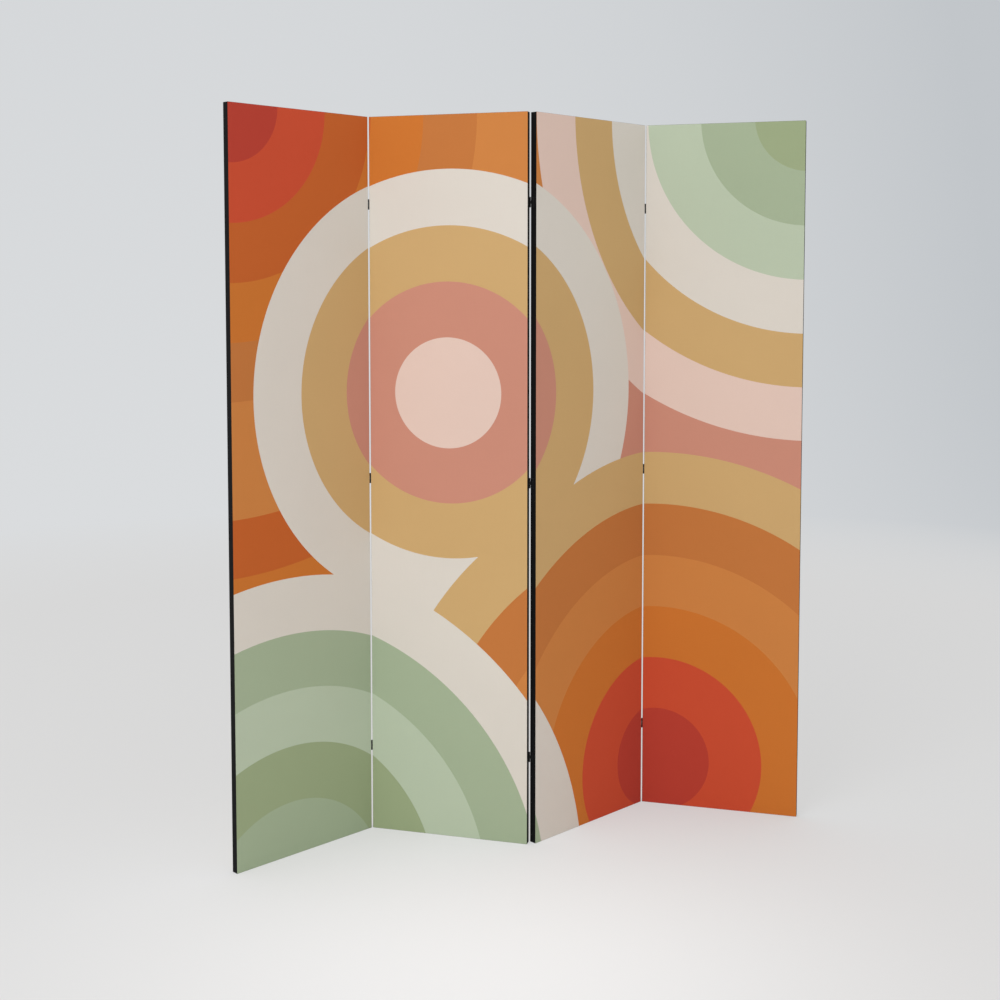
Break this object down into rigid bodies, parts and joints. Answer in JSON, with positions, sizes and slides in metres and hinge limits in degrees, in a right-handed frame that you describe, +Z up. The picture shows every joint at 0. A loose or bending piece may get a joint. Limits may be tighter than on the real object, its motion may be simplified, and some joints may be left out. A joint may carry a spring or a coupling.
{
  "type": "folding room divider",
  "caption": "Free-standing folding screen of printed canvas panels on pine frames, joined in a zigzag by small black butt hinges.",
  "frame": {"origin": "on the floor, in the middle of the screen's box at its standing zigzag", "axes": "+X along the screen from the left panel to the right one, +Y from the printed front to the back, +Z up"},
  "size_m": [1.4308, 0.2156, 1.77],
  "materials": {
    "printed_canvas": "matte printed cotton canvas, black at its edges, raw at the back",
    "pine": "planed, unfinished",
    "black_hinge": "satin black",
    "hinge_screw": "blackened steel"
  },
  "bodies": {
    "panel_1": {"panel_1_left_stile": "pine", "panel_1_right_stile": "pine", "panel_1_bottom_rail": "pine", "panel_1_top_rail": "pine", "panel_1_lower_cross_rail": "pine", "panel_1_upper_cross_rail": "pine", "panel_1_canvas": "printed_canvas", "panel_1_canvas_turnover": "printed_canvas", "panel_1_hinge_screws": "hinge_screw", "left_fold_bottom_hinge_left_leaf": "black_hinge", "left_fold_middle_hinge_left_leaf": "black_hinge", "left_fold_top_hinge_left_leaf": "black_hinge", "left_fold_hinge_pins": "black_hinge"},
    "panel_2": {"panel_2_left_stile": "pine", "panel_2_right_stile": "pine", "panel_2_bottom_rail": "pine", "panel_2_top_rail": "pine", "panel_2_lower_cross_rail": "pine", "panel_2_upper_cross_rail": "pine", "panel_2_canvas": "printed_canvas", "panel_2_canvas_turnover": "printed_canvas", "panel_2_hinge_screws": "hinge_screw", "middle_fold_bottom_hinge_left_leaf": "black_hinge", "middle_fold_middle_hinge_left_leaf": "black_hinge", "middle_fold_top_hinge_left_leaf": "black_hinge", "middle_fold_hinge_pins": "black_hinge", "left_fold_bottom_hinge_right_leaf": "black_hinge", "left_fold_middle_hinge_right_leaf": "black_hinge", "left_fold_top_hinge_right_leaf": "black_hinge"},
    "panel_3": {"panel_3_left_stile": "pine", "panel_3_right_stile": "pine", "panel_3_bottom_rail": "pine", "panel_3_top_rail": "pine", "panel_3_lower_cross_rail": "pine", "panel_3_upper_cross_rail": "pine", "panel_3_canvas": "printed_canvas", "panel_3_canvas_turnover": "printed_canvas", "panel_3_hinge_screws": "hinge_screw", "right_fold_bottom_hinge_left_leaf": "black_hinge", "right_fold_middle_hinge_left_leaf": "black_hinge", "right_fold_top_hinge_left_leaf": "black_hinge", "right_fold_hinge_pins": "black_hinge", "middle_fold_bottom_hinge_right_leaf": "black_hinge", "middle_fold_middle_hinge_right_leaf": "black_hinge", "middle_fold_top_hinge_right_leaf": "black_hinge"},
    "panel_4": {"panel_4_left_stile": "pine", "panel_4_right_stile": "pine", "panel_4_bottom_rail": "pine", "panel_4_top_rail": "pine", "panel_4_lower_cross_rail": "pine", "panel_4_upper_cross_rail": "pine", "panel_4_canvas": "printed_canvas", "panel_4_canvas_turnover": "printed_canvas", "panel_4_hinge_screws": "hinge_screw", "right_fold_bottom_hinge_right_leaf": "black_hinge", "right_fold_middle_hinge_right_leaf": "black_hinge", "right_fold_top_hinge_right_leaf": "black_hinge"}
  },
  "joints": [
    {"name": "left_fold", "type": "hinge", "parent": "panel_2", "child": "panel_1", "pos_m": [-0.35855, 0.09236, 0], "axis": [0, 0, 1], "range_deg": [-60, 120]},
    {"name": "middle_fold", "type": "hinge", "parent": "panel_2", "child": "panel_3", "pos_m": [-0.00002, -0.09236, 0], "axis": [0, 0, 1], "range_deg": [-60, 120]},
    {"name": "right_fold", "type": "hinge", "parent": "panel_3", "child": "panel_4", "pos_m": [0.35851, 0.09236, 0], "axis": [0, 0, 1], "range_deg": [-120, 60]}
  ]
}
